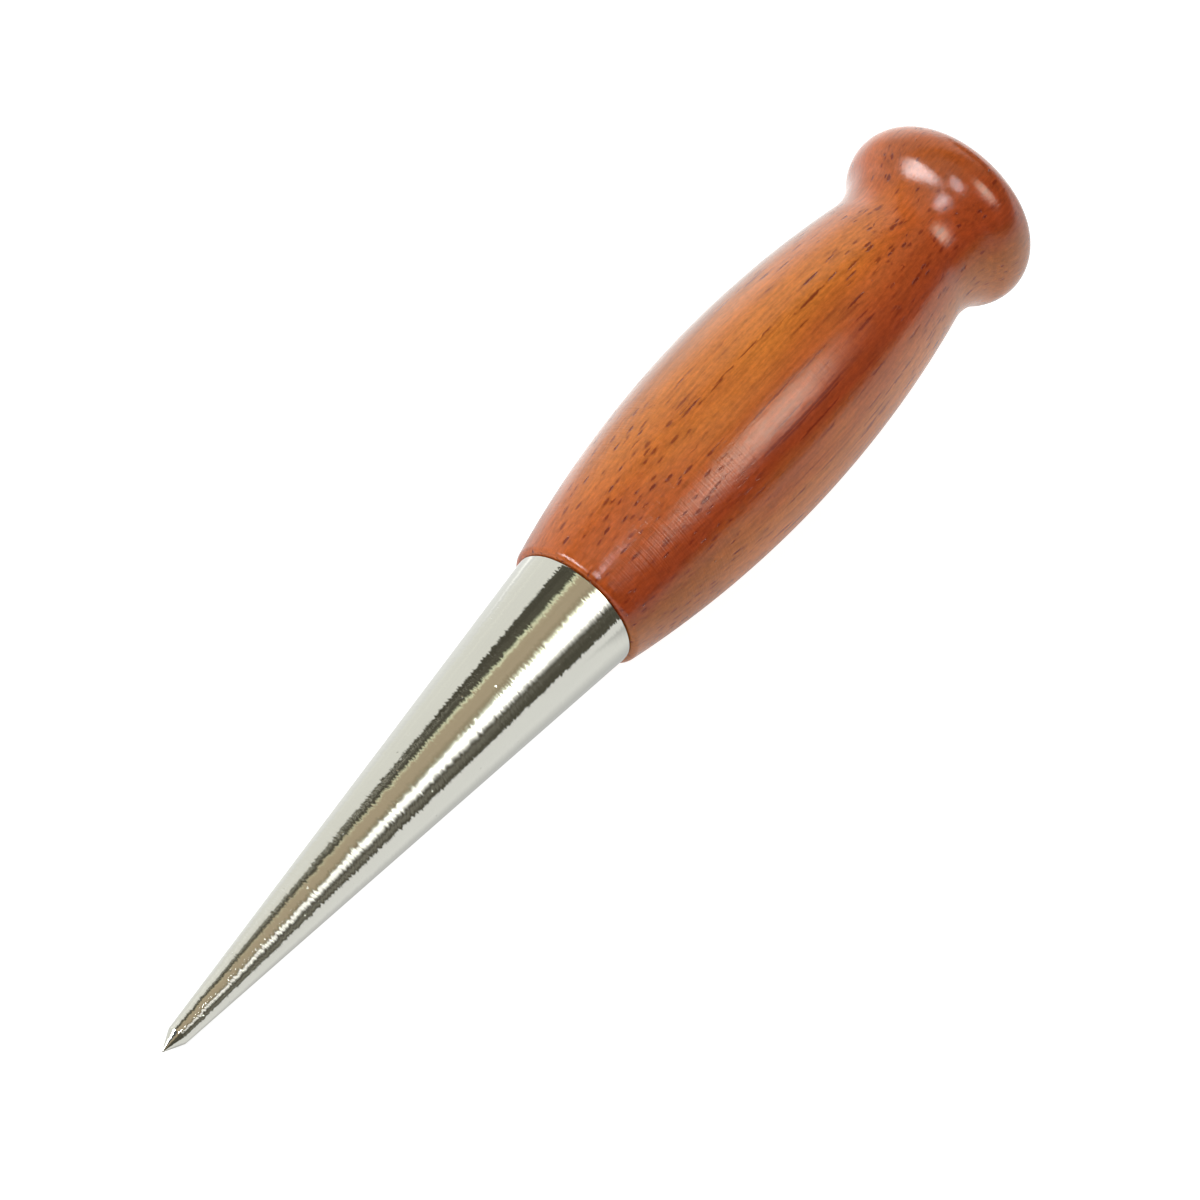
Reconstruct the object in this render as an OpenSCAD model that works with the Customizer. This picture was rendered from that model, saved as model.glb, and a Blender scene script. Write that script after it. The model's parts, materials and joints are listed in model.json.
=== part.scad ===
// Tapered bradawl: a polished steel spike on a turned hardwood handle.
// The spike carries a ring-grooved tang that is glued into the handle's blind bore.
// Every piece is turned about one axis and then laid on the bench, on its point and its belly.

/* [Spike] */
// Length of steel that shows, from the tip to the handle's face
spike_length = 80; // [60:0.5:110]
// Diameter of the spike where it meets the handle
spike_d = 18; // [15:0.1:18.8]
// Diameter where the long taper ends and the ground point begins
point_d = 2.8; // [1.6:0.1:5]
// Length of the ground point
point_length = 2.8; // [1.6:0.1:6]
// Bevel round the spike's back edge
spike_bevel = 0.2; // [0.1:0.05:0.6]

/* [Handle] */
// Length of the handle, from its face to the crown of the knob
handle_length = 85; // [75:0.5:110]
// Diameter of the handle's face, before its edge is rounded
handle_face_d = 19.2; // [18.8:0.1:23]
// Radius that rounds the edge of the handle's face
handle_edge_r = 0.7; // [0.3:0.05:1.2]
// Largest diameter of the barrel
belly_d = 27.8; // [25:0.1:32]
// Distance from the handle's face to the widest place of the barrel
belly_at = 37; // [30:0.5:45]
// Radius of the hollow between the barrel and the knob
neck_r = 8.5; // [6:0.1:12]
// Diameter of the knob
knob_d = 27.5; // [25:0.1:32]
// Radius of the knob's rounded rim
knob_rim_r = 5.5; // [4.5:0.1:6]
// Distance from the knob's widest place to its crown
knob_crown = 6.7; // [6.3:0.1:8]

/* [Tang] */
// Diameter of the tang
tang_d = 8; // [6:0.1:9]
// Length of the tang that is pressed into the spike
tang_in_spike = 16; // [10:0.5:24]
// Length of the tang that is glued into the handle
tang_in_handle = 44; // [30:0.5:55]
// Bevel at both ends of the tang
tang_bevel = 0.8; // [0.4:0.1:1.5]
// Distance from one glue groove to the next
groove_pitch = 5; // [3:0.5:8]
// Width of a glue groove at its floor
groove_floor = 0.6; // [0.3:0.1:1.2]
// Depth of a glue groove, whose sides slope at 45 degrees
groove_depth = 0.5; // [0.3:0.05:0.8]
// Depth of the flat that lets air out of the spike's socket
vent_depth = 0.4; // [0.2:0.05:0.8]

/* [Fits] */
// Thickness of the glue between the tang and the handle
glue_film = 0.15; // [0.1:0.01:0.4]
// Depth of glue left past the end of the tang in the handle
glue_pool = 1.2; // [0.5:0.1:3]
// Depth of the countersink at the mouth of the handle's bore
bore_countersink = 0.6; // [0.3:0.1:1.2]
// Air left past the end of the tang in the spike's socket
socket_air = 0.5; // [0.2:0.1:2]
// Angle of the drill that bores the handle and the spike
drill_angle = 118; // [90:1:140]

/* [Hidden] */
$fn = 96;
steel_colour = "gainsboro";
tang_colour = "darkgray";
glue_colour = "khaki";
wood_colour = "chocolate";
// Extra length that carries a cut clear of the face it opens
cut_over = 1;
// Most that one straight step of an outline turns and measures, and the fewest steps of an arc
arc_step_angle = 6;
arc_step_length = 3;
arc_least_steps = 4;

overall_length = spike_length + handle_length;
spike_r = spike_d / 2;
tang_r = tang_d / 2;
bore_r = tang_r + glue_film;
bore_depth = tang_in_handle + glue_pool;
socket_depth = tang_in_spike + socket_air;

// Outlines are lists of [radius, height], with the tip at height 0 and the knob at the top.

// Points of an arc about centre, the short way from angle a to angle b, whose own point is left out.
function arc(centre, radius, a, b) =
    let (
        turn = ((b - a) % 360 + 540) % 360 - 180,
        by_angle = abs(turn) / arc_step_angle,
        by_length = radius * abs(turn) * PI / 180 / arc_step_length,
        steps = ceil(max(by_angle, by_length, arc_least_steps))
    )
    [for (i = [0:steps - 1]) let (t = a + turn * i / steps) centre + radius * [cos(t), sin(t)]];

// Angle of the direction from one point to another.
function bearing(from, to) = atan2(to[1] - from[1], to[0] - from[0]);

// The point at distance p from a and distance q from b, to the right of the way from a to b.
function meeting(a, p, b, q) =
    let (
        gap = norm(b - a),
        along = (gap * gap + p * p - q * q) / (2 * gap),
        aside = sqrt(p * p - along * along),
        way = (b - a) / gap
    )
    a + along * way + aside * [way[1], -way[0]];

// The barrel is one arc that starts at the face's edge and is widest at the belly.
face_r = handle_face_d / 2;
barrel_rise = belly_d / 2 - face_r;
barrel_r = (belly_at * belly_at + barrel_rise * barrel_rise) / (2 * barrel_rise);
barrel_c = [belly_d / 2 - barrel_r, spike_length + belly_at];

// The face's edge is rounded by an arc that is tangent to the face and to the barrel.
edge_c = [
    barrel_c[0] + sqrt(pow(barrel_r - handle_edge_r, 2) - pow(belly_at - handle_edge_r, 2)),
    spike_length + handle_edge_r
];

// The knob is a round rim under a shallow crown, and the two arcs are tangent.
rim_c = [knob_d / 2 - knob_rim_r, overall_length - knob_crown];
crown_r = (pow(knob_crown, 2) + pow(rim_c[0], 2) - pow(knob_rim_r, 2)) / (2 * (knob_crown - knob_rim_r));
crown_c = [0, overall_length - crown_r];

// The neck is a hollow arc that is tangent to the barrel and to the rim.
neck_c = meeting(barrel_c, barrel_r + neck_r, rim_c, knob_rim_r + neck_r);

handle_outline = concat(
    [[0, spike_length]],
    arc(edge_c, handle_edge_r, -90, bearing(barrel_c, edge_c)),
    arc(barrel_c, barrel_r, bearing(barrel_c, edge_c), 0),
    arc(barrel_c, barrel_r, 0, bearing(barrel_c, neck_c)),
    arc(neck_c, neck_r, bearing(neck_c, barrel_c), bearing(neck_c, rim_c)),
    arc(rim_c, knob_rim_r, bearing(rim_c, neck_c), 0),
    arc(rim_c, knob_rim_r, 0, bearing(crown_c, rim_c)),
    arc(crown_c, crown_r, bearing(crown_c, rim_c), 90),
    [[0, overall_length]]
);

shoulder = [point_d / 2, point_length];
spike_outline = [
    [0, 0],
    shoulder,
    [spike_r, spike_length - spike_bevel],
    [spike_r - spike_bevel, spike_length],
    [0, spike_length]
];

// The tool lies on the shoulder of its point and on its barrel, so its axis climbs at this angle.
rest_angle = max([
    for (p = concat(handle_outline, spike_outline))
        if (p[1] > shoulder[1]) 90 - bearing(shoulder, p)
]);
tip_height = shoulder[0] * cos(rest_angle) - shoulder[1] * sin(rest_angle);
reach = max([for (p = handle_outline) p[1] * cos(rest_angle) + p[0] * sin(rest_angle)]);

// Lays what is turned about the upright axis on the bench, with its middle over the origin.
module on_bench() {
    translate([-reach / 2, 0, tip_height]) rotate([0, 90 - rest_angle, 0]) children();
}

// A drilled blind hole, from its mouth at height 0 up to depth, with the drill's cone past it.
module drilled(radius, depth) {
    translate([0, 0, -cut_over]) cylinder(r = radius, h = depth + cut_over);
    translate([0, 0, depth]) cylinder(r1 = radius, r2 = 0, h = radius / tan(drill_angle / 2));
}

// Heights of the middles of the glue grooves, evenly placed along the glued length.
groove_count = floor(tang_in_handle / groove_pitch) - 1;
groove_first = spike_length + (tang_in_handle - (groove_count - 1) * groove_pitch) / 2;
groove_heights = [for (i = [0:groove_count - 1]) groove_first + i * groove_pitch];
groove_profile = [
    [0, -groove_floor / 2 - groove_depth],
    [groove_depth, -groove_floor / 2],
    [groove_depth, groove_floor / 2],
    [0, groove_floor / 2 + groove_depth]
];

tang_outline = concat(
    [
        [0, spike_length - tang_in_spike],
        [tang_r - tang_bevel, spike_length - tang_in_spike],
        [tang_r, spike_length - tang_in_spike + tang_bevel]
    ],
    [for (h = groove_heights) for (p = groove_profile) [tang_r - p[0], h + p[1]]],
    [
        [tang_r, spike_length + tang_in_handle - tang_bevel],
        [tang_r - tang_bevel, spike_length + tang_in_handle],
        [0, spike_length + tang_in_handle]
    ]
);

// Flat along the pressed end of the tang, which lets air out of the socket.
module vent() {
    translate([tang_r - vent_depth, -tang_r, spike_length - tang_in_spike - cut_over])
        cube([tang_d, tang_d, tang_in_spike + cut_over]);
}

module tang_turned() {
    rotate_extrude() polygon(tang_outline);
}

// The handle's bore: a blind drilled hole with a countersunk mouth.
module bore() {
    translate([0, 0, spike_length]) {
        drilled(bore_r, bore_depth);
        translate([0, 0, -cut_over])
            cylinder(r1 = bore_r + bore_countersink + cut_over, r2 = bore_r, h = bore_countersink + cut_over);
    }
}

// Steel spike: a long polished taper with a steeper ground point and a socket for the tang.
module spike() {
    color(steel_colour) on_bench() difference() {
        rotate_extrude() polygon(spike_outline);
        translate([0, 0, spike_length]) mirror([0, 0, 1]) drilled(tang_r, socket_depth);
    }
}

// Steel tang: pressed into the spike at one end and glued into the handle at the other.
module tang() {
    color(tang_colour) on_bench() difference() {
        tang_turned();
        vent();
    }
}

// Hardened glue: fills the bore round the grooved tang, up to the handle's face.
module glue() {
    color(glue_colour) on_bench() difference() {
        intersection() {
            bore();
            translate([0, 0, spike_length]) cylinder(r = face_r, h = bore_depth + bore_r);
        }
        tang_turned();
    }
}

// Hardwood handle: a barrel, a hollow neck and a crowned knob, with a blind bore.
module handle() {
    color(wood_colour) on_bench() difference() {
        rotate_extrude() polygon(handle_outline);
        bore();
    }
}

spike();
tang();
glue();
handle();
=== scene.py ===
"""Looks of a bradawl: a polished steel spike in a lacquered wooden handle, on a pale floor."""

import json
import logging
import math
from dataclasses import dataclass
from enum import Enum
from typing import Union

import bmesh
import bpy
from mathutils import Matrix, Vector


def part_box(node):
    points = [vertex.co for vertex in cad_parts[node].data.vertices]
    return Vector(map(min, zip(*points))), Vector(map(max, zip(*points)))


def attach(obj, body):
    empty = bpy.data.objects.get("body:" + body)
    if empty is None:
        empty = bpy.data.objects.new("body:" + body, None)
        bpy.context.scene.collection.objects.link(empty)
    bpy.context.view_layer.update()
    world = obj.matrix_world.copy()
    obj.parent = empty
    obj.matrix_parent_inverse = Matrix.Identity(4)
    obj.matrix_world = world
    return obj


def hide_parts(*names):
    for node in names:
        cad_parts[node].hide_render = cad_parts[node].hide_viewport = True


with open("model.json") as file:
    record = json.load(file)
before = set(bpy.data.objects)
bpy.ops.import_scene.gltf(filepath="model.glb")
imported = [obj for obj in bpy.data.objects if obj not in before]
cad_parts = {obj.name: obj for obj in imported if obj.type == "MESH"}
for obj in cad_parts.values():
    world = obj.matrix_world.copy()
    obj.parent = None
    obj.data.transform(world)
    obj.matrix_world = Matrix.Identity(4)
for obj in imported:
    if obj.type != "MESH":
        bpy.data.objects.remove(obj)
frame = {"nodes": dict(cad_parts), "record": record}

LOG = logging.getLogger("bradawl")
MM = 0.001
NOISE_MEAN = 0.5

Material = bpy.types.Material
Object = bpy.types.Object
Colour = tuple[float, float, float]
Place = tuple[float, float, float]
Point = tuple[float, float]
Span = tuple[float, float]
Outline = list[Point]
Feed = Union["Wire", bpy.types.NodeSocket, float, tuple]


class Node(Enum):
    """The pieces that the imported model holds."""

    SPIKE = "spike"
    TANG = "tang"
    GLUE = "glue"
    HANDLE = "handle"


class Slot(Enum):
    """The record's names for the finishes."""

    POLISHED_STEEL = "polished_steel"
    LACQUERED_WOOD = "lacquered_wood"


# Shader nodes


@dataclass
class Wire:
    """A node's output that takes part in sums: each operator adds one Math node."""

    graph: "Graph"
    socket: bpy.types.NodeSocket

    def __add__(self, other: Feed) -> "Wire":
        """This plus the other."""
        return self.graph.math("ADD", self, other)

    def __radd__(self, other: Feed) -> "Wire":
        """The other plus this."""
        return self.graph.math("ADD", other, self)

    def __sub__(self, other: Feed) -> "Wire":
        """This less the other."""
        return self.graph.math("SUBTRACT", self, other)

    def __rsub__(self, other: Feed) -> "Wire":
        """The other less this."""
        return self.graph.math("SUBTRACT", other, self)

    def __mul__(self, other: Feed) -> "Wire":
        """This times the other."""
        return self.graph.math("MULTIPLY", self, other)

    def __rmul__(self, other: Feed) -> "Wire":
        """The other times this."""
        return self.graph.math("MULTIPLY", other, self)

    def __abs__(self) -> "Wire":
        """This without its sign."""
        return self.graph.math("ABSOLUTE", self)


def between(first: Feed, second: Feed, share: Wire) -> Wire:
    """Goes from the first value to the second as the share goes from 0 to 1."""
    return first + (second - first) * share


def dimmed(colour: Colour, share: float) -> Colour:
    """A share of a colour."""
    return tuple(share * c for c in colour)


@dataclass(frozen=True)
class Grain:
    """A soft noise: its bumps per unit of each coordinate, its finer layers and their strength."""

    per_unit: Place
    detail: float = 2.0
    roughness: float = 0.5


class Graph:
    """The node tree of one material or of the world."""

    def __init__(self, owner: Union[str, bpy.types.World]) -> None:
        """Starts an empty tree.

        Args:
            owner: a new material's name, or the world.
        """
        self.owner = bpy.data.materials.new(owner) if isinstance(owner, str) else owner
        self.owner.use_nodes = True
        self.tree = self.owner.node_tree
        self.tree.nodes.clear()

    def node(self, kind: str, settings: dict, sockets: dict) -> bpy.types.Node:
        """Adds a node of any type.

        Args:
            kind: the node's type.
            settings: its properties, set first.
            sockets: values or links by the input's name or number.

        Returns:
            The new node.
        """
        made = self.tree.nodes.new(kind)
        for name, value in settings.items():
            setattr(made, name, value)
        for name, value in sockets.items():
            end = made.inputs[name]
            if isinstance(value, Wire):
                value = value.socket
            if isinstance(value, bpy.types.NodeSocket):
                self.tree.links.new(value, end)
            elif end.type == "RGBA" and len(value) == 3:
                end.default_value = (*value, 1.0)
            else:
                end.default_value = value
        return made

    def wire(self, kind: str, settings: dict, sockets: dict, output: Union[str, int] = 0) -> Wire:
        """Adds a node and gives one of its outputs, by name or number."""
        return Wire(self, self.node(kind, settings, sockets).outputs[output])

    def math(self, operation: str, first: Feed, second: Feed = 0.0) -> Wire:
        """One Math node on two values."""
        return self.wire("ShaderNodeMath", {"operation": operation}, {0: first, 1: second})

    def vector(self, operation: str, first: Feed, second: Feed = (0.0, 0.0, 0.0)) -> Wire:
        """One Vector Math node on two vectors."""
        return self.wire("ShaderNodeVectorMath", {"operation": operation}, {0: first, 1: second})

    def scaled(self, colour: Feed, by: Feed) -> Wire:
        """A colour or vector times a value."""
        sockets = {0: colour, "Scale": by}
        return self.wire("ShaderNodeVectorMath", {"operation": "SCALE"}, sockets)

    def mixed(self, factor: Feed, first: Feed, second: Feed) -> Wire:
        """A colour between two colours."""
        settings = {"data_type": "RGBA", "clamp_factor": True}
        return self.wire("ShaderNodeMix", settings, {0: factor, 6: first, 7: second}, 2)

    def rise(self, value: Feed, low: Feed, high: Feed) -> Wire:
        """Goes smoothly from 0 where the value is low to 1 where it is high."""
        sockets = {"Value": value, "From Min": low, "From Max": high}
        return self.wire("ShaderNodeMapRange", {"interpolation_type": "SMOOTHSTEP"}, sockets)

    def bearing(self, across: Feed, up: Feed) -> Wire:
        """An angle in degrees, from up towards across."""
        return self.math("DEGREES", self.math("ARCTAN2", across, up))

    def noise(self, place: Feed, grain: Grain, output: str = "Fac") -> Wire:
        """Soft noise of one grain at a place, as one value or, from the output Color, as three."""
        sockets = {
            "Vector": self.vector("MULTIPLY", place, grain.per_unit),
            "Scale": 1.0,
            "Detail": grain.detail,
            "Roughness": grain.roughness,
        }
        return self.wire("ShaderNodeTexNoise", {"noise_dimensions": "3D"}, sockets, output)

    def strayed(self, start: Feed, place: Feed, grain: Grain, amount: Place) -> Wire:
        """A start moved by the noise at a place, by up to an amount each way."""
        stray = self.vector("MULTIPLY", self.noise(place, grain, "Color"), amount)
        return self.vector("ADD", start, stray)

    def cells(self, place: Feed, per_unit: Place) -> tuple[Wire, tuple[Wire, Wire, Wire]]:
        """Scattered points: the distance to the nearest, and three chance values of its own."""
        made = self.node(
            "ShaderNodeTexVoronoi",
            {"voronoi_dimensions": "3D", "feature": "F1"},
            {"Vector": self.vector("MULTIPLY", place, per_unit), "Scale": 1.0},
        )
        return Wire(self, made.outputs["Distance"]), self.split(made.outputs["Color"])

    def place(self, lay: "Lay") -> Wire:
        """The tool's own coordinates in millimetres: down, far and along from the tip."""
        sockets = {
            "Vector": self.read(),
            "Location": lay.tip,
            "Rotation": (0.0, lay.lean, 0.0),
            "Scale": (MM, MM, MM),
        }
        return self.wire("ShaderNodeMapping", {"vector_type": "TEXTURE"}, sockets)

    def read(self, kind: str = "Object") -> Wire:
        """The coordinates of one kind."""
        return self.wire("ShaderNodeTexCoord", {}, {}, kind)

    def split(self, place: Feed) -> tuple[Wire, Wire, Wire]:
        """The three parts of a vector."""
        made = self.node("ShaderNodeSeparateXYZ", {}, {0: place})
        return tuple(Wire(self, made.outputs[i]) for i in range(3))

    def bump(self, height: Feed) -> Wire:
        """A normal from heights in millimetres."""
        return self.wire("ShaderNodeBump", {}, {"Distance": MM, "Height": height})

    def swayed(self, normal: Wire, lay: "Lay", tilt: Feed) -> Wire:
        """A normal tilted round the tool by a small angle in radians."""
        aside = self.vector("CROSS_PRODUCT", tuple(lay.way), normal)
        return self.vector("NORMALIZE", self.vector("ADD", normal, self.scaled(aside, tilt)))

    def ended(self, kind: str, sockets: dict) -> Material:
        """Ends the tree in one shader and gives the material."""
        self.node("ShaderNodeOutputMaterial", {}, {"Surface": self.wire(kind, {}, sockets)})
        return self.owner

    def surface(self, sockets: dict) -> Material:
        """Ends the tree in a Principled shader."""
        return self.ended("ShaderNodeBsdfPrincipled", sockets)

    def glow(self, colour: Feed, strength: float = 1.0) -> Material:
        """Ends the tree in an Emission shader."""
        return self.ended("ShaderNodeEmission", {"Color": colour, "Strength": strength})


# Where the tool lies


@dataclass(frozen=True)
class Lay:
    """The tool's axis on the bench, from its tip to its knob."""

    tip: Vector
    way: Vector

    @classmethod
    def of_frame(cls) -> "Lay":
        """Reads the axis from the record's neck clip and the tip from the spike's box.

        Returns:
            Where the tool lies.
        """
        clip = next(m for m in frame["record"]["mounts"] if m["name"] == "neck_clip")
        way = Vector(clip["axis"]).normalized()
        on_axis = Vector(clip["pos_m"])
        low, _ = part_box(Node.SPIKE.value)
        return cls(on_axis + way * ((low.x - on_axis.x) / way.x), way)

    @property
    def climb(self) -> float:
        """The angle of the axis over the bench, in radians."""
        return math.asin(self.way.z)

    @property
    def lean(self) -> float:
        """The angle of the axis from the upright, in radians."""
        return math.pi / 2 - self.climb

    def matrix(self) -> Matrix:
        """Carries what is turned about the upright axis to its place on the bench."""
        return Matrix.Translation(self.tip) @ Matrix.Rotation(self.lean, 4, "Y")


# Finishes: grains are per millimetre, heights and places along the tool are in millimetres


@dataclass(frozen=True)
class PolishedSteel:
    """Bright plated steel with fine polishing marks round it."""

    tint: Colour = (0.50, 0.493, 0.455)
    pit_tint: Colour = (0.35, 0.34, 0.30)
    haze_dims: float = 0.96
    roughness: float = 0.045
    haze_dull: float = 0.02
    scratch_dull: float = 0.05
    fine: Grain = Grain((0.35, 0.35, 5.4), 4.0, 0.7)
    fine_height: float = 0.008
    fine_sway: float = 0.38
    broad: Grain = Grain((0.12, 0.12, 0.9))
    broad_height: float = 0.012
    scratch: Grain = Grain((0.10, 0.10, 6.0), 3.0, 0.7)
    scratch_edge: Span = (0.54, 0.66)
    coarse_at: Span = (72.0, 12.0)
    coarse: Span = (0.6, 1.4)
    haze: Grain = Grain((0.4, 0.4, 0.15), 3.0)
    pits_per_mm: float = 0.9
    pit_share: Span = (0.80, 0.82)
    pit_edge: Span = (0.16, 0.06)
    pit_dark: float = 0.4
    pit_depth: float = 0.02

    def material(self, lay: Lay) -> Material:
        """Builds the finish.

        Args:
            lay: where the tool lies.

        Returns:
            The material.
        """
        graph = Graph("polished steel")
        place = graph.place(lay)
        _, _, along = graph.split(place)

        # Polishing marks run round the taper, coarser towards the point
        coarse = between(*self.coarse, graph.rise(along, *self.coarse_at))
        fine = graph.noise(place, self.fine)
        broad = graph.noise(place, self.broad)
        height = (fine * self.fine_height + broad * self.broad_height) * coarse
        sway = (fine - NOISE_MEAN) * self.fine_sway * coarse
        scratch = graph.rise(graph.noise(place, self.scratch), *self.scratch_edge) * coarse

        # Tiny pits in the plating, in some of the cells
        away, (chance, _, _) = graph.cells(place, (self.pits_per_mm,) * 3)
        pit = graph.rise(chance, *self.pit_share) * graph.rise(away, *self.pit_edge)
        haze = graph.noise(place, self.haze)
        tone = graph.mixed(haze, dimmed(self.tint, self.haze_dims), self.tint)
        return graph.surface({
            "Base Color": graph.mixed(pit * self.pit_dark, tone, self.pit_tint),
            "Metallic": 1.0,
            "Roughness": self.roughness + haze * self.haze_dull + scratch * self.scratch_dull,
            "Normal": graph.swayed(graph.bump(height - pit * self.pit_depth), lay, sway),
        })


@dataclass(frozen=True)
class SimpleFinish:
    """A finish whose colour, gloss and height follow one noise."""

    name: str
    low: Colour
    high: Colour
    grain: Grain
    height: float
    roughness: float
    dull: float
    metallic: float = 0.0

    def material(self, lay: Lay) -> Material:
        """Builds the finish.

        Args:
            lay: where the tool lies.

        Returns:
            The material.
        """
        graph = Graph(self.name)
        share = graph.noise(graph.place(lay), self.grain)
        return graph.surface({
            "Base Color": graph.mixed(share, self.low, self.high),
            "Metallic": self.metallic,
            "Roughness": self.roughness + share * self.dull,
            "Normal": graph.bump(share * self.height),
        })


TURNED_STEEL = SimpleFinish(
    "turned steel", (0.336, 0.328, 0.312), (0.42, 0.41, 0.39), Grain((0.05, 0.05, 5.0)),
    height=0.006, roughness=0.32, dull=0.1, metallic=1.0,
)
CURED_GLUE = SimpleFinish(
    "cured glue", (0.62, 0.45, 0.20), (0.70, 0.58, 0.36), Grain((0.6, 0.6, 0.3), 3.0),
    height=0.03, roughness=0.2, dull=0.15,
)


@dataclass(frozen=True)
class Vessels:
    """Hollows of the wood that the turned surface cuts open, and the stain soaked in round them.

    Widths count from the middle of a vessel, and an edge fades from its first place to its second.
    """

    spacing: float
    stretch: float
    least: float
    most: float
    share: float
    crowd_pull: float = 1.2
    enough: Span = (1.6, 1.66)
    breaks: Grain = Grain((1.2, 1.2, 0.22), 1.0)
    break_edge: Span = (0.39, 0.43)
    hollow_edge: Span = (0.02, -0.03)
    soak_edge: Span = (0.20, -0.05)
    open_share: Span = (0.45, 0.7)

    def cut(self, graph: Graph, fibres: Wire, crowd: Wire, girth: Wire) -> tuple[Wire, Wire, Wire]:
        """Cuts the vessels.

        Args:
            graph: the wood's material.
            fibres: the place along and across the fibres, in millimetres.
            crowd: where vessels stand close, about 0.5 on average.
            girth: what share of their full width they have.

        Returns:
            The hollow, the stain round it, and how far the lacquer leaves it open.
        """
        across = 1.0 / self.spacing
        away, (chance, width, depth) = graph.cells(fibres, (across, across, across / self.stretch))
        away = away * self.spacing
        there = graph.rise(crowd * self.crowd_pull + chance + self.share, *self.enough)
        there = there * graph.rise(graph.noise(fibres, self.breaks), *self.break_edge)
        size = between(self.least, self.most, width * width) * girth
        hollow, soaked = (
            there * graph.rise(away, size + outer, size + inner)
            for outer, inner in (self.hollow_edge, self.soak_edge)
        )
        return hollow, soaked, graph.rise(depth, *self.open_share)


@dataclass(frozen=True)
class LacqueredWood:
    """Open-pored hardwood, stained red brown under a clear glossy lacquer, with painted light and
    shade in its colour.
    """

    # Stain, with painted light and shade: golden on top and russet down the sides stand partly for
    # how the light falls
    golden: Colour = (0.63, 0.19, 0.028)
    amber: Colour = (0.53, 0.118, 0.021)
    russet: Colour = (0.32, 0.047, 0.010)
    flank: Colour = (0.44, 0.122, 0.016)
    pore: Colour = (0.15, 0.012, 0.002)
    drift: Grain = Grain((0.12, 0.12, 0.03), 3.0)
    drift_angle: float = 50.0
    figure_at: Point = (5.0, 116.0)
    figure_spread: Point = (90.0, 900.0)
    figure_edge: Span = (1.7, 0.0)
    figure_drift: float = 2.0
    palest_angle: float = 20.0
    russet_edge: Span = (8.0, 78.0)
    flank_edge: Span = (-58.0, -84.0)
    underside: Span = (170.0, 130.0)
    crown_at: Span = (158.5, 163.5)
    crown_russet: float = 0.5
    streak: Grain = Grain((2.2, 2.2, 0.12), 3.0, 0.6)
    streak_share: float = 0.86
    mottle: Grain = Grain((2.1, 2.1, 1.1), 3.0, 0.65)
    mottle_share: float = 0.80
    even_share: float = 0.17

    # Painted light and shade: paler and darker parts, along the tool and by the angle round it,
    # from none to full
    neck_painted_light: float = 0.10
    neck_at: float = 143.0
    neck_half: Span = (14.0, 5.0)
    neck_angle: Span = (18.0, -8.0)
    ring_painted_shade: float = 0.25
    ring_at: float = 155.5
    ring_half: Span = (5.5, 1.0)
    ring_angle: Span = (40.0, 15.0)
    low_angle: Span = (-50.0, -80.0)
    low_knob_painted_shade: float = 0.26
    low_knob_at: Span = (134.0, 151.0)
    low_front_painted_shade: float = 0.28
    low_front_at: Span = (104.0, 86.0)
    far_painted_shade: float = 0.55
    far_from: Span = (60.0, 140.0)
    far_to: Span = (156.0, 144.0)
    far_drift: Span = (15.0, 55.0)
    far_angle: Span = (98.0, 60.0)

    # Vessels: long cuts on the belly, short ones where the surface runs across the fibres
    wander: Grain = Grain((0.05, 0.05, 0.025), 1.0)
    wander_by: Place = (1.2, 1.2, 0.0)
    fray: Grain = Grain((1.6, 1.6, 1.0), 2.0, 0.6)
    fray_by: Place = (0.30, 0.30, 0.5)
    crowding: Grain = Grain((0.16, 0.16, 0.08), 1.0)
    long_vessels: Vessels = Vessels(0.66, 80.0, 0.11, 0.20, 1.0)
    short_vessels: Vessels = Vessels(0.62, 4.5, 0.13, 0.25, 0.62)
    belly_at: float = 121.0
    belly_half: Span = (12.0, 22.0)
    few_at: Span = (149.0, 157.0)
    few: float = 0.3
    girth: Span = (0.78, 1.0)
    girth_at: Span = (86.0, 104.0)
    soak: float = 0.42
    pore_dark: Span = (0.66, 0.50)
    open_dark: float = 0.28
    pore_depth: float = 0.045

    # Lacquer: dust nibs, sanding rings, grain that shows through and a soft ripple
    edge_gloss: float = 2.1
    face_gloss: float = 0.18
    roughness: float = 0.165
    least_roughness: float = 0.09
    nibs_per_mm: float = 0.3
    nib_share: Span = (0.84, 0.86)
    nib_edge: Span = (0.07, 0.0)
    nib_height: float = 0.14
    rings: Grain = Grain((0.15, 0.15, 3.8), 3.0, 0.6)
    rings_height: float = 0.036
    rings_dull: float = 0.25
    rings_at: Span = (118.0, 98.0)
    rings_share: Span = (0.3, 1.0)
    fibre: Grain = Grain((2.6, 2.6, 0.6), 3.0, 0.65)
    fibre_height: Span = (0.022, 0.028)
    fibre_dull: float = 0.2
    knob_at: Span = (146.0, 151.0)
    ripple: Grain = Grain((0.7, 0.7, 0.5), 2.0)
    ripple_height: float = 0.014
    ripple_dull: float = 0.05
    lip_at: Span = (82.0, 81.0)
    lip_gloss: float = 0.07

    def material(self, lay: Lay) -> Material:
        """Builds the finish.

        Args:
            lay: where the tool lies.

        Returns:
            The material.
        """
        graph = Graph("lacquered wood")
        place = graph.place(lay)
        fibres = graph.strayed(place, place, self.wander, self.wander_by)
        pore, soaked, opened, ends = self.pores(graph, place, fibres)
        dark = between(*self.pore_dark, ends) + self.open_dark * opened
        tone = graph.mixed(soaked * self.soak, self.stain(graph, place, fibres), self.pore)
        height, roughness = self.skin(graph, place, fibres)
        return graph.surface({
            "Base Color": graph.mixed(pore * dark, tone, self.pore),
            "Roughness": graph.math("MAXIMUM", roughness, self.least_roughness),
            "IOR": self.edge_gloss,
            "Specular Tint": (self.face_gloss,) * 3,
            "Normal": graph.bump(height - pore * opened * self.pore_depth),
        })

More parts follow.
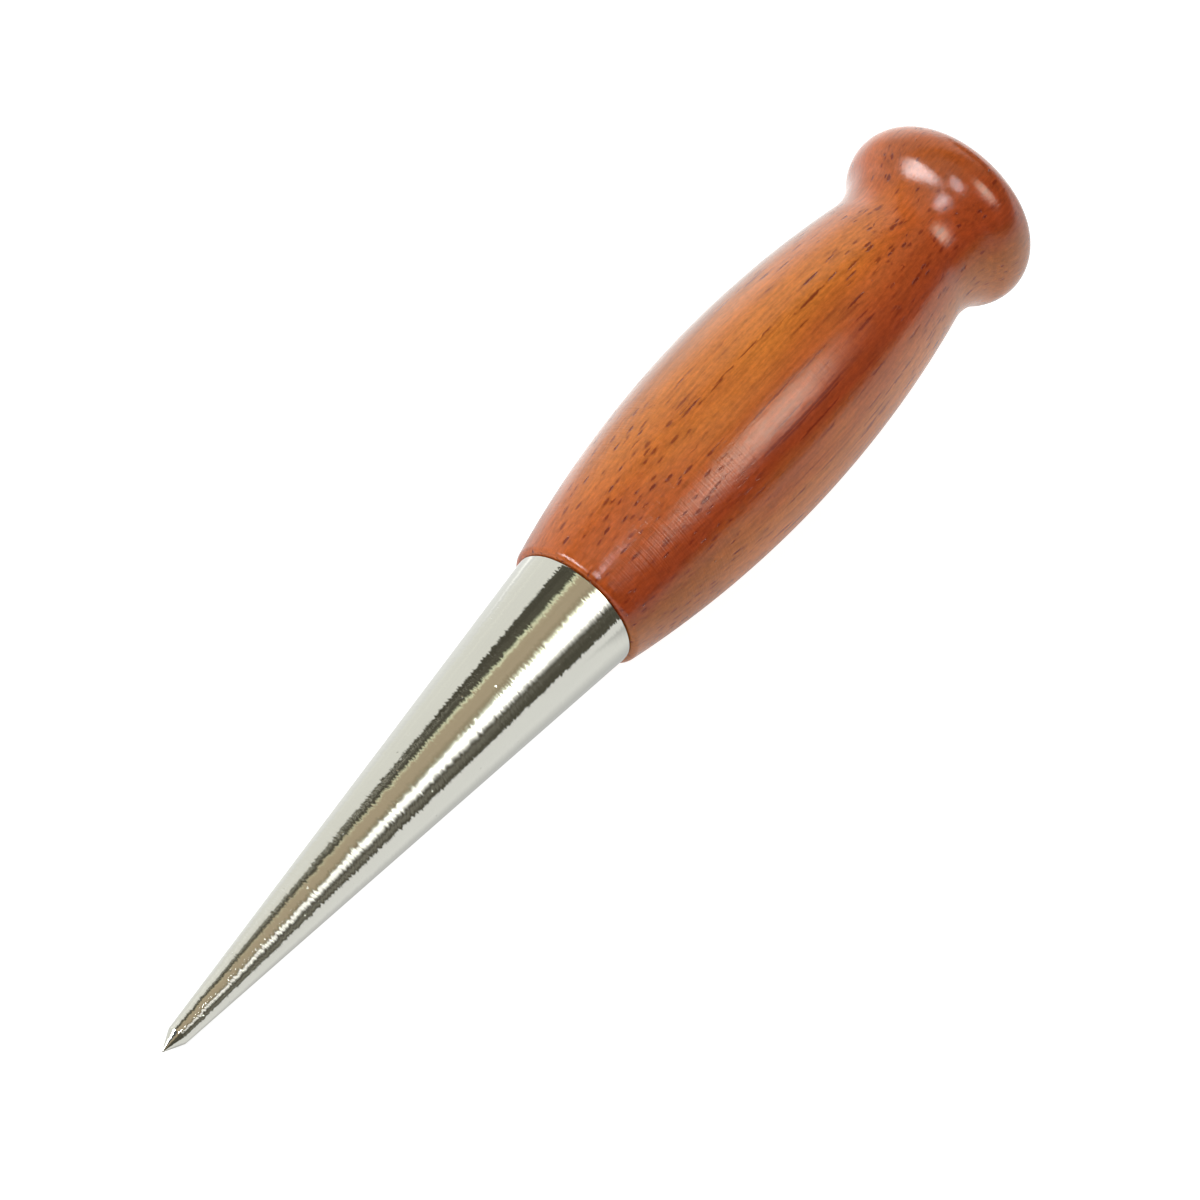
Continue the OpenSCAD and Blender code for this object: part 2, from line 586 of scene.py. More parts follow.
    def pores(self, graph: Graph, place: Wire, fibres: Wire) -> tuple[Wire, Wire, Wire, Wire]:
        """Cuts the vessels, fewer on the knob and thinner at the front.

        Args:
            graph: the wood's material.
            place: the tool's coordinates.
            fibres: the place along and across the fibres.

        Returns:
            The hollows, the stain round them, how far they stay open, and where the short ones are.
        """
        _, _, along = graph.split(place)
        frayed = graph.strayed(fibres, place, self.fray, self.fray_by)
        crowd = graph.noise(place, self.crowding) - self.few * graph.rise(along, *self.few_at)
        girth = between(*self.girth, graph.rise(along, *self.girth_at))
        ends = graph.rise(abs(along - self.belly_at), *self.belly_half)
        long = self.long_vessels.cut(graph, frayed, crowd, girth)
        short = self.short_vessels.cut(graph, frayed, crowd, girth)
        pore, soaked, opened = (between(a, b, ends) for a, b in zip(long, short))
        return pore, soaked, opened, ends

    def stain(self, graph: Graph, place: Wire, fibres: Wire) -> Wire:
        """Colours the wood: golden on the belly's top, a pale growth layer and painted light;
        russet round it, stain and painted shade down the sides; paler on the low near flank; then
        more painted light and shade.

        Args:
            graph: the wood's material.
            place: the tool's coordinates.
            fibres: the place along and across the fibres.

        Returns:
            The colour between the vessels, painted light and shade included.
        """
        down, far, along = graph.split(place)
        drift = graph.noise(fibres, self.drift)
        angle = graph.bearing(far, 0.0 - down)
        drifting = angle + (drift - NOISE_MEAN) * self.drift_angle
        crown = graph.rise(along, *self.crown_at)
        beside = graph.rise(abs(angle), *self.underside) * (1.0 - crown)

        # The figure of the wood, a golden layer across the top that also paints in the light there
        figure = (NOISE_MEAN - drift) * self.figure_drift
        for value, at, spread in zip((far, along), self.figure_at, self.figure_spread):
            figure = figure + (value - at) * (value - at) * (1.0 / spread)
        figure = graph.rise(figure, *self.figure_edge)
        stain = graph.mixed(figure, self.amber, self.golden)
        # Russet away from the palest angle: partly the stain, partly painted shade down the sides
        red = graph.rise(abs(drifting - self.palest_angle), *self.russet_edge)
        stain = graph.mixed(between(red, self.crown_russet, crown), stain, self.russet)
        stain = graph.mixed(graph.rise(drifting, *self.flank_edge) * beside, stain, self.flank)

        # Painted light and shade: paler on the neck's near side, darker on top of the knob's rim,
        # on the low near flank and on the far side; then streaks and mottle
        neck = graph.rise(abs(along - self.neck_at), *self.neck_half)
        neck = neck * graph.rise(drifting, *self.neck_angle) * beside
        ring = graph.rise(abs(along - self.ring_at), *self.ring_half)
        ring = ring * graph.rise(abs(drifting), *self.ring_angle)
        # Painted shade on the low near flank, by the knob and at the front
        low = self.low_knob_painted_shade * graph.rise(along, *self.low_knob_at)
        low = low + self.low_front_painted_shade * graph.rise(along, *self.low_front_at)
        low = low * graph.rise(drifting, *self.low_angle) * beside
        # Painted shade on the far side of the belly and neck
        dull = graph.rise(along, *self.far_from) * graph.rise(along, *self.far_to)
        dull = dull * graph.rise(drifting, *self.far_drift) * graph.rise(angle, *self.far_angle)
        painted_light_and_shade = 1.0 + self.neck_painted_light * neck - self.ring_painted_shade * ring - low
        painted_light_and_shade = painted_light_and_shade * (1.0 - self.far_painted_shade * dull)
        grain = self.even_share + graph.noise(fibres, self.streak) * self.streak_share
        grain = grain + graph.noise(place, self.mottle) * self.mottle_share
        return graph.scaled(stain, grain * painted_light_and_shade)

    def skin(self, graph: Graph, place: Wire, fibres: Wire) -> tuple[Wire, Wire]:
        """Lays the lacquer on.

        Args:
            graph: the wood's material.
            place: the tool's coordinates.
            fibres: the place along and across the fibres.

        Returns:
            The height of its skin and its roughness.
        """
        _, _, along = graph.split(place)
        away, (chance, _, _) = graph.cells(place, (self.nibs_per_mm,) * 3)
        nib = graph.rise(chance, *self.nib_share) * graph.rise(away, *self.nib_edge)
        rings = graph.noise(place, self.rings) - NOISE_MEAN
        rings = rings * between(*self.rings_share, graph.rise(along, *self.rings_at))
        fibre = graph.noise(fibres, self.fibre) - NOISE_MEAN
        knob = graph.rise(along, *self.knob_at)
        ripple = graph.noise(place, self.ripple)
        height = nib * self.nib_height + rings * self.rings_height + ripple * self.ripple_height
        height = height + fibre * between(*self.fibre_height, knob)
        roughness = self.roughness + rings * self.rings_dull + fibre * self.fibre_dull
        roughness = roughness + ripple * self.ripple_dull
        roughness = roughness - self.lip_gloss * graph.rise(along, *self.lip_at)
        return height, roughness


@dataclass(frozen=True)
class PaleFloor:
    """Matt white board with a barely seen tooth."""

    tint: Colour = (0.42, 0.42, 0.415)
    tooth_dims: float = 0.99
    tooth: Grain = Grain((40.0, 40.0, 40.0), 3.0)
    roughness: float = 0.8
    lit_from_below: Colour = (0.93, 0.93, 0.925)

    def material(self) -> Material:
        """Builds the finish.

        Returns:
            The material.
        """
        graph = Graph("pale floor")
        tooth = graph.noise(graph.read(), self.tooth)
        return graph.surface({
            "Base Color": graph.mixed(tooth, dimmed(self.tint, self.tooth_dims), self.tint),
            "Roughness": self.roughness,
            "Emission Color": self.lit_from_below,
            "Emission Strength": 1.0,
        })


# Turned pieces


def arc(centre: Point, radius: float, start: float, end: float, step: float) -> Outline:
    """Points of an arc, the short way round.

    Args:
        centre: the arc's centre, as radius and height.
        radius: the arc's radius.
        start: the angle it starts at, in degrees.
        end: the angle it ends at, whose own point is left out.
        step: the longest step between two points, in millimetres.

    Returns:
        The points.
    """
    turn = (end - start + 540) % 360 - 180
    widest_turn, fewest = 5, 4
    length = radius * math.radians(abs(turn))
    count = max(fewest, math.ceil(max(abs(turn) / widest_turn, length / step)))
    angles = [math.radians(start + turn * i / count) for i in range(count)]
    return [(centre[0] + radius * math.cos(a), centre[1] + radius * math.sin(a)) for a in angles]


def bearing(start: Point, end: Point) -> float:
    """The angle of the way from one point to another, in degrees."""
    return math.degrees(math.atan2(end[1] - start[1], end[0] - start[0]))


def steps(start: Point, end: Point, count: int) -> Outline:
    """Points on a straight line, without its last one."""
    return [tuple(a + (b - a) * i / count for a, b in zip(start, end)) for i in range(count)]


@dataclass
class Turned:
    """A piece that is turned about the tool's axis. Sizes are in millimetres."""

    lay: Lay
    name: str = "turned"
    segments: int = 192
    smooth_under: float = 12.0
    merge_under: float = 0.002
    same_place: float = 0.01
    bevel_steps: int = 4
    bore_steps: int = 12
    face_steps: int = 6

    def outline(self) -> Outline:
        """The half section, as radius and height from the tip, from axis to axis."""
        raise NotImplementedError

    def turn(self) -> Object:
        """Draws the half section by extruding a point, and spins it about the axis.

        Returns:
            The piece, still upright and in edit mode.
        """
        points = self.outline()
        bpy.ops.object.select_all(action="DESELECT")
        start = Vector((points[0][0], 0.0, points[0][1])) * MM
        bpy.ops.mesh.primitive_plane_add(size=MM, location=start)
        piece = bpy.context.object
        piece.name = piece.data.name = self.name
        bpy.ops.object.transform_apply()
        bpy.ops.object.mode_set(mode="EDIT")
        bpy.ops.mesh.select_mode(type="VERT")
        bpy.ops.mesh.select_all(action="SELECT")
        bpy.ops.mesh.merge(type="CENTER")
        for last, new in zip(points, points[1:]):
            way = Vector((new[0] - last[0], 0.0, new[1] - last[1])) * MM
            bpy.ops.mesh.extrude_vertices_move(TRANSFORM_OT_translate={"value": way})
        bpy.ops.mesh.select_all(action="SELECT")
        bpy.ops.mesh.spin(steps=self.segments, angle=math.tau, center=(0, 0, 0), axis=(0, 0, 1))
        bpy.ops.mesh.select_all(action="SELECT")
        bpy.ops.mesh.remove_doubles(threshold=self.merge_under * MM)
        bpy.ops.mesh.normals_make_consistent(inside=False)
        return piece

    def soften(self, piece: Object, ring: Point, width: float) -> None:
        """Bevels the ring of edges at one place of the section.

        Args:
            piece: the piece, upright and in edit mode.
            ring: the ring's radius and height.
            width: the bevel's width.
        """
        bpy.ops.mesh.select_mode(type="EDGE")
        bpy.ops.mesh.select_all(action="DESELECT")
        mesh = bmesh.from_edit_mesh(piece.data)

        def on_ring(vert: bmesh.types.BMVert) -> bool:
            """Whether a point lies on the ring."""
            here = (math.hypot(vert.co.x, vert.co.y), vert.co.z)
            return all(abs(a - b * MM) < self.same_place * MM for a, b in zip(here, ring))

        for edge in mesh.edges:
            edge.select = all(on_ring(v) for v in edge.verts)
        mesh.select_flush_mode()
        bmesh.update_edit_mesh(piece.data)
        bpy.ops.mesh.bevel(offset=width * MM, segments=self.bevel_steps, profile=0.5)

    def settle(self, piece: Object, node: Node, slot: Slot, finish: Material) -> None:
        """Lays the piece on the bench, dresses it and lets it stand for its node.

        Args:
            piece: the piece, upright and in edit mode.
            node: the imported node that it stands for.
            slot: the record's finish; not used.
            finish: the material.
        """
        bpy.ops.object.mode_set(mode="OBJECT")
        piece.matrix_world = self.lay.matrix()
        bpy.ops.object.transform_apply()
        bpy.ops.object.shade_smooth_by_angle(angle=math.radians(self.smooth_under))
        piece.data.materials.append(finish)
        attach(piece, "root")
        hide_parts(node.value)
        LOG.info("%s: %d faces", piece.name, len(piece.data.polygons))


@dataclass
class Spike(Turned):
    """The steel spike: a long taper, a ground point and a drilled socket for the tang."""

    name: str = "steel_spike"
    length: float = 80.0
    back_d: float = 18.0
    point_d: float = 2.8
    point_length: float = 2.8
    back_bevel: float = 0.12
    bevel_room: float = 0.2
    joint_gap: float = 0.16
    joint_d: float = 16.8
    shoulder_bevel: float = 0.12
    tip_r: float = 0.08
    tip_round: Point = (0.6, 0.3)
    socket_d: float = 8.0
    socket_depth: float = 16.5
    drill_angle: float = 118.0
    seat_steps: int = 3
    back_steps: int = 2
    taper_steps: int = 60
    point_steps: int = 8
    finish: PolishedSteel = PolishedSteel()

    def back(self, before: float = 0.0) -> Point:
        """The back edge of the taper, short of the wood by the joint line, or a place before it.

        Args:
            before: how far before the back edge.

        Returns:
            The place, as radius and height.
        """
        taper = (self.back_d - self.point_d) / 2 / (self.length - self.point_length)
        short = self.joint_gap + before
        return (self.back_d / 2 - taper * short, self.length - short)

    def outline(self) -> Outline:
        """The half section from the bottom of the socket round the back to the tip.

        Returns:
            The points.
        """
        socket_r = self.socket_d / 2
        floor = self.length - self.socket_depth
        cone = socket_r / math.tan(math.radians(self.drill_angle / 2))
        seat_r = self.joint_d / 2
        shoulder = (self.point_d / 2, self.point_length)
        back, neck = self.back(), self.back(self.back_bevel + self.bevel_room)
        return [
            (0.0, floor - cone),
            *steps((socket_r, floor), (socket_r, self.length), self.bore_steps),
            *steps((socket_r, self.length), (seat_r, self.length), self.face_steps),
            (seat_r, self.length),
            *steps((seat_r, back[1]), back, self.seat_steps),
            *steps(back, neck, self.back_steps),
            *steps(neck, shoulder, self.taper_steps),
            *steps(shoulder, (self.tip_r, self.tip_r), self.point_steps),
            (self.tip_r, self.tip_r),
            (self.tip_r * self.tip_round[0], self.tip_r * self.tip_round[1]),
            (0.0, 0.0),
        ]

    def build(self) -> None:
        """Turns the spike, softens its edges and dresses it."""
        piece = self.turn()
        self.soften(piece, self.back(), self.back_bevel)
        self.soften(piece, (self.point_d / 2, self.point_length), self.shoulder_bevel)
        self.settle(piece, Node.SPIKE, Slot.POLISHED_STEEL, self.finish.material(self.lay))


@dataclass
class Handle(Turned):
    """The wooden handle: a barrel, a hollow neck and a crowned knob, with a blind bore."""

    name: str = "wooden_handle"
    face_at: float = 80.0
    length: float = 85.0
    face_d: float = 19.2
    edge_r: float = 1.0
    edge_step: float = 0.1
    belly_d: float = 27.8
    belly_at: float = 37.0
    neck_r: float = 8.5
    knob_d: float = 27.5
    rim_r: float = 5.5
    crown: float = 6.7
    bore_d: float = 8.3
    bore_depth: float = 45.2
    countersink: float = 0.6
    drill_angle: float = 118.0
    step: float = 0.55
    finish: LacqueredWood = LacqueredWood()

    def outline(self) -> Outline:
        """The half section from the end of the bore round the face to the crown.

        Returns:
            The points.
        """
        bore_r = self.bore_d / 2
        end = self.face_at + self.bore_depth
        cone = bore_r / math.tan(math.radians(self.drill_angle / 2))
        mouth = self.face_at + self.countersink
        sunk = (bore_r + self.countersink, self.face_at)
        rise = (self.belly_d - self.face_d) / 2
        barrel_r = (self.belly_at ** 2 + rise ** 2) / (2 * rise)
        barrel = (self.belly_d / 2 - barrel_r, self.face_at + self.belly_at)
        reach = math.sqrt((barrel_r - self.edge_r) ** 2 - (self.belly_at - self.edge_r) ** 2)
        edge = (barrel[0] + reach, self.face_at + self.edge_r)
        top = self.face_at + self.length
        rim = (self.knob_d / 2 - self.rim_r, top - self.crown)
        crown_r = self.crown ** 2 + rim[0] ** 2 - self.rim_r ** 2
        crown_r = crown_r / (2 * (self.crown - self.rim_r))
        dome = (0.0, top - crown_r)
        neck = self.hollow(barrel, barrel_r + self.neck_r, rim, self.rim_r + self.neck_r)
        return [
            (0.0, end + cone),
            *steps((bore_r, end), (bore_r, mouth), self.bore_steps),
            (bore_r, mouth),
            *steps(sunk, (edge[0], self.face_at), self.face_steps),
            *arc(edge, self.edge_r, -90, bearing(barrel, edge), self.edge_step),
            *arc(barrel, barrel_r, bearing(barrel, edge), bearing(barrel, neck), self.step),
            *arc(neck, self.neck_r, bearing(neck, barrel), bearing(neck, rim), self.step),
            *arc(rim, self.rim_r, bearing(rim, neck), bearing(dome, rim), self.step),
            *arc(dome, crown_r, bearing(dome, rim), 90, self.step),
            (0.0, top),
        ]

    @staticmethod
    def hollow(first: Point, first_r: float, second: Point, second_r: float) -> Point:
        """The centre of the neck's arc, to the right of the way from one centre to the other.

        Args:
            first: the barrel's centre.
            first_r: its distance from the neck's centre.
            second: the rim's centre.
            second_r: its distance from the neck's centre.

        Returns:
            The neck's centre.
        """
        gap = math.dist(first, second)
        along = (gap ** 2 + first_r ** 2 - second_r ** 2) / (2 * gap)
        aside = math.sqrt(first_r ** 2 - along ** 2)
        way = ((second[0] - first[0]) / gap, (second[1] - first[1]) / gap)
        return (
            first[0] + along * way[0] + aside * way[1],
            first[1] + along * way[1] - aside * way[0],
        )

    def build(self) -> None:
        """Turns the handle and dresses it."""
        self.settle(self.turn(), Node.HANDLE, Slot.LACQUERED_WOOD, self.finish.material(self.lay))


@dataclass
class Core:
    """The tang and the glue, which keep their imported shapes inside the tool."""

    lay: Lay
    tang: SimpleFinish = TURNED_STEEL
    glue: SimpleFinish = CURED_GLUE

    def build(self) -> None:
        """Dresses both pieces."""
        for node, finish in ((Node.TANG, self.tang), (Node.GLUE, self.glue)):
            mesh = frame["nodes"][node.value].data
            mesh.materials.clear()
            mesh.materials.append(finish.material(self.lay))
            LOG.info("%s: dressed as packed", node.value)


# Studio: sizes and places are in metres


def flat(name: str, size: Point, place: Place, turn: Place = (0.0, 0.0, 0.0)) -> Object:
    """Adds a flat sheet, with its size and place worked into its mesh.

    Args:
        name: the sheet's name.
        size: its two sides.
        place: its middle.
        turn: its turn, in radians.

    Returns:
        The sheet.
    """
    bpy.ops.object.select_all(action="DESELECT")
    bpy.ops.mesh.primitive_plane_add(size=1.0, location=place, rotation=turn)
    made = bpy.context.object
    made.name = name
    made.scale = (*size, 1.0)
    bpy.ops.object.transform_apply()
    return made


def seen_in_gloss_only(card: Object, glow: Material) -> None:
    """Makes a card part of the stage that only polished surfaces show.

    Args:
        card: the card.
        glow: its material.
    """
    card.data.materials.append(glow)
    card.visible_camera = False
    card.visible_diffuse = False
    card.visible_shadow = False


@dataclass(frozen=True)
class Edge:
    """One long edge of a band: degrees from up to the far side, and its slope per metre."""

    at: float
    slope: float = 0.0
    least: float = -180.0
    soft: float = 1.0

    def angle(self, graph: Graph, along: Wire) -> Wire:
        """The edge's angle at each place along the bench."""
        return graph.math("MAXIMUM", self.at + self.slope * along, self.least)


@dataclass(frozen=True)
class Band:
    """A lit stripe of the dome, between two edges and two places along the bench."""

    low: Edge
    high: Edge
    span: Span
    colour: Colour
    fade: float = 0.05

    def light(self, graph: Graph, angle: Wire, along: Wire) -> Wire:
        """The band's light at each place of the dome.

        Args:
            graph: the dome's material.
            angle: the angle about the tool.
            along: the place along the bench.

        Returns:
            The colour, black outside the band.
        """
        low, high = self.low.angle(graph, along), self.high.angle(graph, along)
        mask = graph.rise(angle, low - self.low.soft / 2, low + self.low.soft / 2)
        mask = mask * graph.rise(angle, high + self.high.soft / 2, high - self.high.soft / 2)
        mask = mask * graph.rise(along, self.span[0] - self.fade, self.span[0] + self.fade)
        mask = mask * graph.rise(along, self.span[1] + self.fade, self.span[1] - self.fade)
        return graph.scaled(self.colour, mask)


ROOM_GLOOM: Colour = (0.137, 0.130, 0.097)
ALL_ALONG: Span = (-1.3, 2.3)
FAR_END = Edge(99.0)
SWEEP_MIDDLE = Edge(62.0, soft=24.0)
BOARD_END = Edge(12.6, -75.0, least=-10.0)


@dataclass(frozen=True)
class Dome:
    """A half tube over the tool, seen only in reflections: a dim room with lit bands."""

    radius: float = 1.0
    length: float = 3.6
    middle: float = 0.5
    sides: int = 96
    foot: float = -0.05
    murk: Grain = Grain((0.35, 6.0, 0.0), 3.0, 0.7)
    murk_edge: Span = (0.5, 0.72)
    murk_light: Span = (0.85, 2.45)
    bands: tuple[Band, ...] = (
        # Far white sweep, brighter past the knob and over the spike
        Band(Edge(39.2, -25.0, soft=2.0), FAR_END, ALL_ALONG, (1.18, 1.20, 1.16)),
        Band(SWEEP_MIDDLE, FAR_END, (0.45, 2.3), (0.9, 0.9, 0.9), 0.15),
        Band(SWEEP_MIDDLE, FAR_END, (-0.14, 0.08), (0.6, 0.6, 0.6), 0.04),
        # Pale strip overhead
        Band(Edge(11.6, -75.0), Edge(16.5, -75.0), (0.037, 0.38), (1.24, 1.35, 0.94), 0.02),
        # Thin strip that only the spike's front half shows
        Band(Edge(35.5, -240.0), Edge(41.5, -240.0), (-0.02, 0.062), (1.40, 1.37, 1.18), 0.02),
        # Faint strip low on the near side
        Band(
            Edge(-82.0, soft=10.0), Edge(-68.0, soft=6.0), (0.0, 0.19), (0.20, 0.19, 0.165), 0.03
        ),
        # Tan board overhead, which darkens to the near side
        Band(Edge(-34.0, soft=3.0), BOARD_END, ALL_ALONG, (0.32, 0.25, 0.155)),
        Band(Edge(-25.0, soft=16.0), BOARD_END, ALL_ALONG, (0.285, 0.235, 0.17)),
        # Near white strip
        Band(
            Edge(-51.0, -55.0, least=-62.0, soft=12.0), Edge(-37.0, soft=4.0),
            (-0.1, 0.6), (1.92, 1.91, 1.88), 0.15,
        ),
        # Near softbox
        Band(
            Edge(-50.5, -10.0, soft=14.0), Edge(-31.5, soft=12.0),
            (0.17, 0.54), (10.8, 11.8, 9.8), 0.08,
        ),
    )

    def build(self) -> None:
        """Cuts the half tube from an open cylinder and lights its bands."""
        bpy.ops.object.select_all(action="DESELECT")
        bpy.ops.mesh.primitive_cylinder_add(
            vertices=self.sides, radius=self.radius, depth=self.length, end_fill_type="NOTHING",
            location=(self.middle, 0.0, 0.0), rotation=(0.0, math.pi / 2, 0.0),
        )
        tube = bpy.context.object
        tube.name = "dome"
        bpy.ops.object.transform_apply()
        bpy.ops.object.mode_set(mode="EDIT")
        bpy.ops.mesh.select_all(action="SELECT")
        cut = {"plane_co": (0.0, 0.0, self.foot), "plane_no": (0.0, 0.0, 1.0)}
        bpy.ops.mesh.bisect(**cut, clear_inner=True)
        bpy.ops.object.mode_set(mode="OBJECT")
        graph = Graph("dome light")
        along, far, up = graph.split(graph.read())
        angle = graph.bearing(far, up)
        stripes = graph.wire("ShaderNodeCombineXYZ", {}, {"X": angle, "Y": along})
        murk = graph.rise(graph.noise(stripes, self.murk), *self.murk_edge)
        light = graph.scaled(ROOM_GLOOM, between(*self.murk_light, murk))
        for band in self.bands:
            light = graph.vector("ADD", light, band.light(graph, angle, along))
        glow = graph.glow(light)
        glow.cycles.emission_sampling = "NONE"
        seen_in_gloss_only(tube, glow)


@dataclass(frozen=True)
class Bench:
    """The floor as polished surfaces show it, as a glowing sheet: white, with the tool's shadow and
    some light painted in, dim past its near edge.

    Distances beside the tool count in heights of its axis over the bench.
    """

    lay: Lay
    size: Point = (3.6, 2.0)
    middle: float = 0.5
    lift: float = 0.0004
    white: Colour = (1.0, 1.015, 0.995)
    near_edge: Span = (-0.269, -0.27)
    sides_meet: Span = (-0.002, 0.002)
    least_height: float = 0.001

    # Near side: a painted shadow at the foot, a painted darker patch under the handle's front and
    # painted light past it
    near: Span = (0.65, 1.30)
    near_out: Span = (0.5, 1.8)
    painted_shade_patch: float = 0.30
    patch_at: Span = (0.002, 0.010)
    patch_out: Span = (5.0, 3.5)
    patch_tail: Span = (0.35, 1.0)
    patch_tail_at: Span = (0.08, 0.02)
    near_lift: float = 0.36
    near_lift_at: Span = (0.035, 0.085)

    # Far side: nearly white, with a painted shadow at the foot and painted light beside the handle
    far: Span = (1.0, 1.28)
    far_out: Span = (0.8, 4.2)
    far_lift: float = 0.65
    far_lift_at: Span = (0.013, 0.03)
    far_lift_out: Span = (9.0, 5.0)

    def build(self) -> None:
        """Lays the sheet just over the floor and paints the tool's shadow and some light into its
        glow beside the tool.
        """
        sheet = flat("bench", self.size, (self.middle, 0.0, self.lift))
        graph = Graph("bench light")
        along, far, _ = graph.split(graph.read())
        slope = math.tan(self.lay.climb)
        height = self.lay.tip.z + (along - self.lay.tip.x) * slope
        height = graph.math("MAXIMUM", height, self.least_height)
        away = graph.math("DIVIDE", abs(far), height)

        # Painted shade under the handle's front, painted shadow at each side's foot and painted
        # light past the handle
        painted_shade_patch = graph.rise(along, *self.patch_at) * graph.rise(away, *self.patch_out)
        painted_shade_patch = painted_shade_patch * between(*self.patch_tail, graph.rise(along, *self.patch_tail_at))
        near_light = between(*self.near, graph.rise(away, *self.near_out))
        near_light = near_light * (1.0 - self.painted_shade_patch * painted_shade_patch)
        near_light = near_light + self.near_lift * graph.rise(along, *self.near_lift_at)

        lift = graph.rise(along, *self.far_lift_at) * graph.rise(away, *self.far_lift_out)
        far_light = between(*self.far, graph.rise(away, *self.far_out)) + self.far_lift * lift

        light = between(near_light, far_light, graph.rise(far, *self.sides_meet))
        light = graph.scaled(self.white, light)
        light = graph.mixed(graph.rise(far, *self.near_edge), light, ROOM_GLOOM)
        seen_in_gloss_only(sheet, graph.glow(light))


@dataclass(frozen=True)
class Card:
    """A small card that faces the tool and is seen only in reflections: a lamp, or a dim flag."""

    name: str
    azimuth: float
    elevation: float
    size: Point
    strength: float
    aim: Place = (0.0705, -0.003, 0.031)
    away: float = 0.9
    colour: Colour = (0.95, 1.02, 1.06)
    soft: float = 0.25

    def build(self) -> None:
        """Stands the card where it faces its aim, with soft edges."""
        az, el = math.radians(self.azimuth), math.radians(self.elevation)
        way = Vector((math.cos(el) * math.cos(az), math.cos(el) * math.sin(az), math.sin(el)))
        turn = way.to_track_quat("Z", "Y").to_euler()
        card = flat(self.name, self.size, Vector(self.aim) + way * self.away, turn)
        graph = Graph(self.name)
        across, over, _ = graph.split(graph.read("UV"))
        edge = graph.math("MAXIMUM", abs(across - 0.5), abs(over - 0.5))
        light = graph.scaled(self.colour, graph.rise(edge, 0.5, 0.5 - self.soft))
        seen_in_gloss_only(card, graph.glow(light, self.strength))


@dataclass(frozen=True)
class Fill:
    """A soft area light that shades matt surfaces and stays out of reflections."""

    name: str
    place: Place
    size: float
    power: float

    def build(self) -> None:
        """Hangs the light and points it at the tool."""
        turn = Vector(self.place).to_track_quat("Z", "Y").to_euler()
        bpy.ops.object.light_add(type="AREA", location=self.place, rotation=turn)
        light = bpy.context.object
        light.name = self.name
        light.data.shape = "SQUARE"
        light.data.size = self.size
        light.data.energy = self.power
        light.visible_glossy = False
        light.visible_camera = False


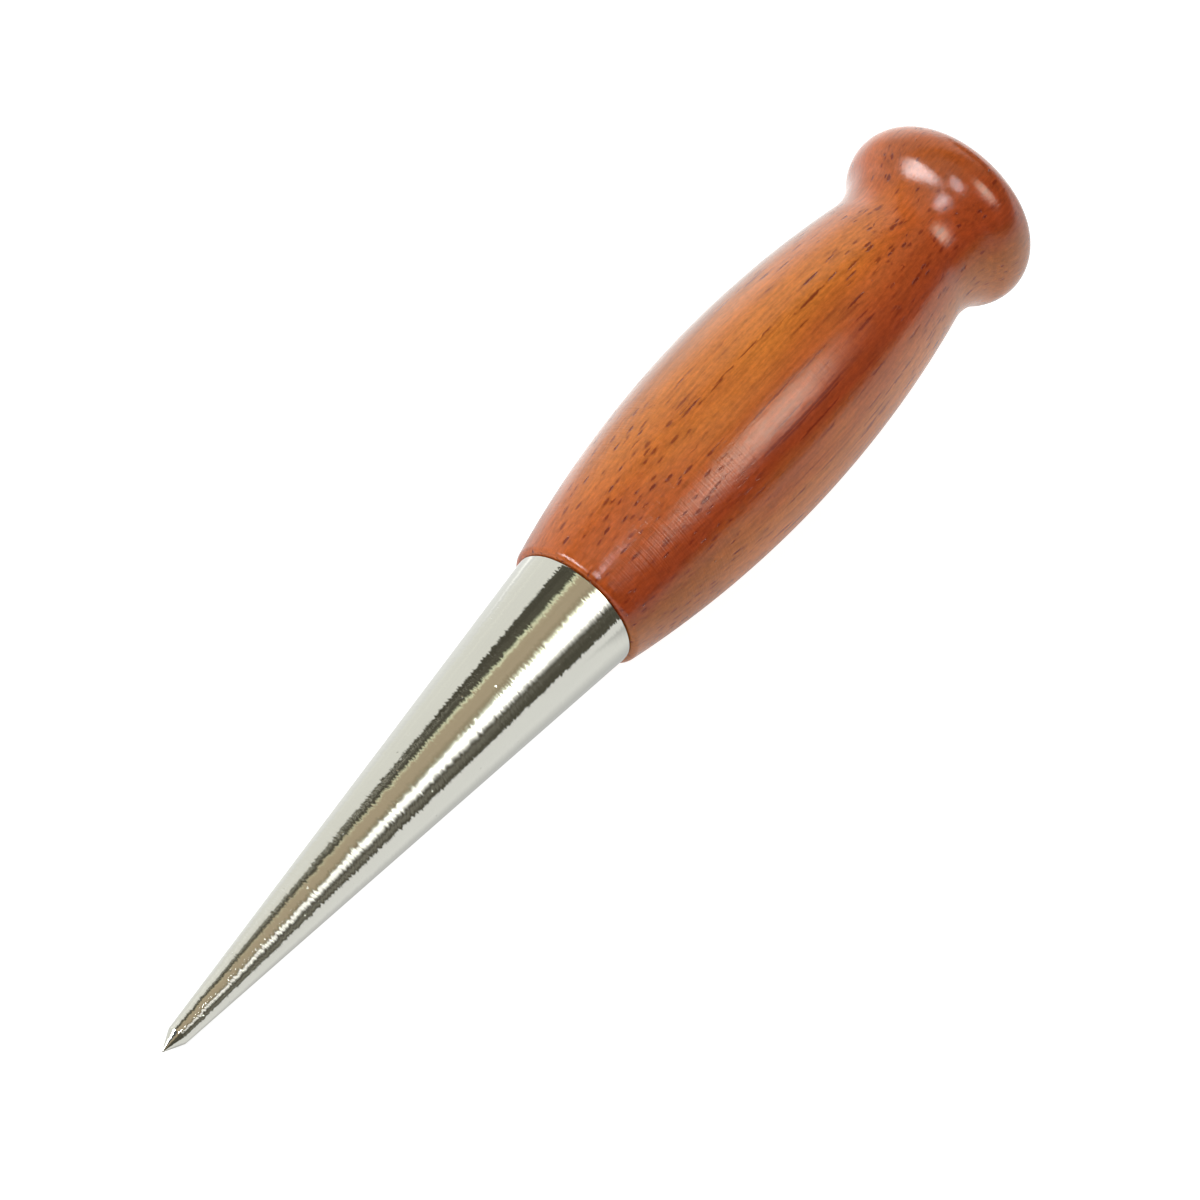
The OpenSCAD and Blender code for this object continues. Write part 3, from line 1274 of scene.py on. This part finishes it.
@dataclass
class Studio:
    """The floor, the dome, the bench, the cards, the lights, the backdrop and the camera."""

    lay: Lay
    floor_size: float = 12.0
    floor_border: float = 0.5
    floor_drop: float = 0.02
    floor: PaleFloor = PaleFloor()
    backdrop: Colour = (0.93, 0.93, 0.92)
    gloom: Colour = (0.075, 0.070, 0.055)
    fill: float = 0.12
    lens: float = 158.0
    sensor: float = 36.0
    clip_start: float = 0.01
    eye: Place = (-0.34924, -0.27524, 0.50338)
    target: Place = (0.00801, 0.00417, 0.0)
    dome: Dome = Dome()
    cards: tuple[Card, ...] = (
        Card("left softbox", 150.0, 41.0, (0.80, 0.40), 25.0),
        Card("high lamp", -137.0, 63.0, (0.11, 0.11), 100.0),
        Card("low lamp", -153.0, 51.0, (0.11, 0.11), 100.0),
        Card(
            "tip flag", 158.0, 48.0, (0.045, 0.05), 0.12,
            aim=(-0.082, 0.0, 0.0), away=0.08, soft=0.02,
        ),
    )
    fills: tuple[Fill, ...] = (
        Fill("high fill", (0.0, 0.20, 1.3), 1.0, 10.8),
        Fill("front fill", (-0.8, 0.15, 1.0), 0.8, 4.5),
        Fill("near fill", (0.2, -0.8, 0.9), 0.6, 1.2),
    )

    def lay_floor(self) -> None:
        """Lays the floor, a wide sheet with its border let down a little."""
        sheet = flat("floor", (self.floor_size, self.floor_size), (0.0, 0.0, 0.0))
        bpy.ops.object.mode_set(mode="EDIT")
        bpy.ops.mesh.select_all(action="SELECT")
        bpy.ops.mesh.inset(thickness=self.floor_border, depth=0.0)
        bpy.ops.mesh.select_mode(type="VERT")
        bpy.ops.mesh.select_all(action="INVERT")
        bpy.ops.transform.translate(value=(0.0, 0.0, -self.floor_drop))
        bpy.ops.object.mode_set(mode="OBJECT")
        sheet.data.materials.append(self.floor.material())
        sheet.visible_glossy = False

    def light(self) -> None:
        """Raises the dome, lays the bench, stands the cards and hangs the lights."""
        for maker in (self.dome, Bench(self.lay), *self.cards, *self.fills):
            maker.build()

    def surround(self) -> None:
        """Gives a pale backdrop, a soft fill for matt surfaces and a dim room in reflections."""
        world = bpy.data.worlds.new("room")
        bpy.context.scene.world = world
        graph = Graph(world)
        seen = dimmed(self.backdrop, self.fill)
        sky = graph.wire("ShaderNodeBackground", {}, {"Color": seen})
        for ray, seen in (("Is Glossy Ray", self.gloom), ("Is Camera Ray", self.backdrop)):
            factor = graph.wire("ShaderNodeLightPath", {}, {}, ray)
            other = graph.wire("ShaderNodeBackground", {}, {"Color": seen})
            sky = graph.wire("ShaderNodeMixShader", {}, {0: factor, 1: sky, 2: other})
        graph.node("ShaderNodeOutputWorld", {}, {"Surface": sky})

    def aim_camera(self) -> None:
        """Sets the camera at the photograph's angle."""
        turn = (Vector(self.target) - Vector(self.eye)).to_track_quat("-Z", "Y").to_euler()
        bpy.ops.object.camera_add(location=self.eye, rotation=turn)
        camera = bpy.context.object
        camera.name = "camera"
        camera.data.lens = self.lens
        camera.data.sensor_width = self.sensor
        camera.data.clip_start = self.clip_start
        bpy.context.scene.camera = camera
        bpy.context.scene.view_settings.view_transform = "Standard"

    def build(self) -> None:
        """Sets up the studio."""
        self.lay_floor()
        self.light()
        self.surround()
        self.aim_camera()
        counts = (len(self.dome.bands), len(self.cards), len(self.fills))
        LOG.info("studio: %d bands, %d cards, %d lights", *counts)


def main() -> None:
    """Builds the tool and the studio."""
    logging.basicConfig(level=logging.INFO, format="%(name)s: %(message)s")
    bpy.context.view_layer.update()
    lay = Lay.of_frame()
    Spike(lay).build()
    Handle(lay).build()
    Core(lay).build()
    Studio(lay).build()


if __name__ == "__main__":
    main()
